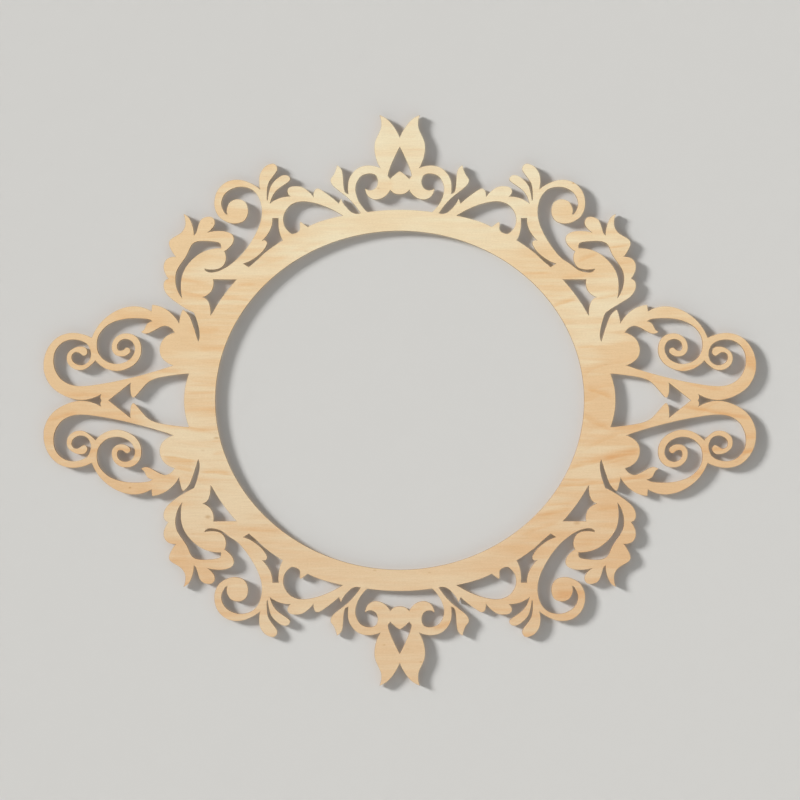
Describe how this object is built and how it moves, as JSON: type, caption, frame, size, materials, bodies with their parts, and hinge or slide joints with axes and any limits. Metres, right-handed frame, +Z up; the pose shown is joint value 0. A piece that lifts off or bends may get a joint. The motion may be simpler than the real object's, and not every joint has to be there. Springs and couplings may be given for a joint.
{
  "type": "laser-cut picture frame",
  "caption": "Flat oval picture frame in laser-cut plywood: a plain oval band with pierced acanthus scrollwork round it.",
  "frame": {"origin": "on the flat back face, in the middle of the band above the picture opening", "axes": "+Z up, -Y out of the front towards the viewer, +Y into the wall, +X to the right seen from the front"},
  "size_m": [0.456, 0.004, 0.3653],
  "materials": {
    "birch_veneer": "raw birch veneer, sanded, matt, with laser-browned cut edges",
    "birch_core": "cross-grain birch core, seen only as a laser-browned cut edge"
  },
  "bodies": {
    "root": {"back_face_veneer": "birch_veneer", "cross_grain_core": "birch_core", "front_face_veneer": "birch_veneer"}
  },
  "joints": []
}
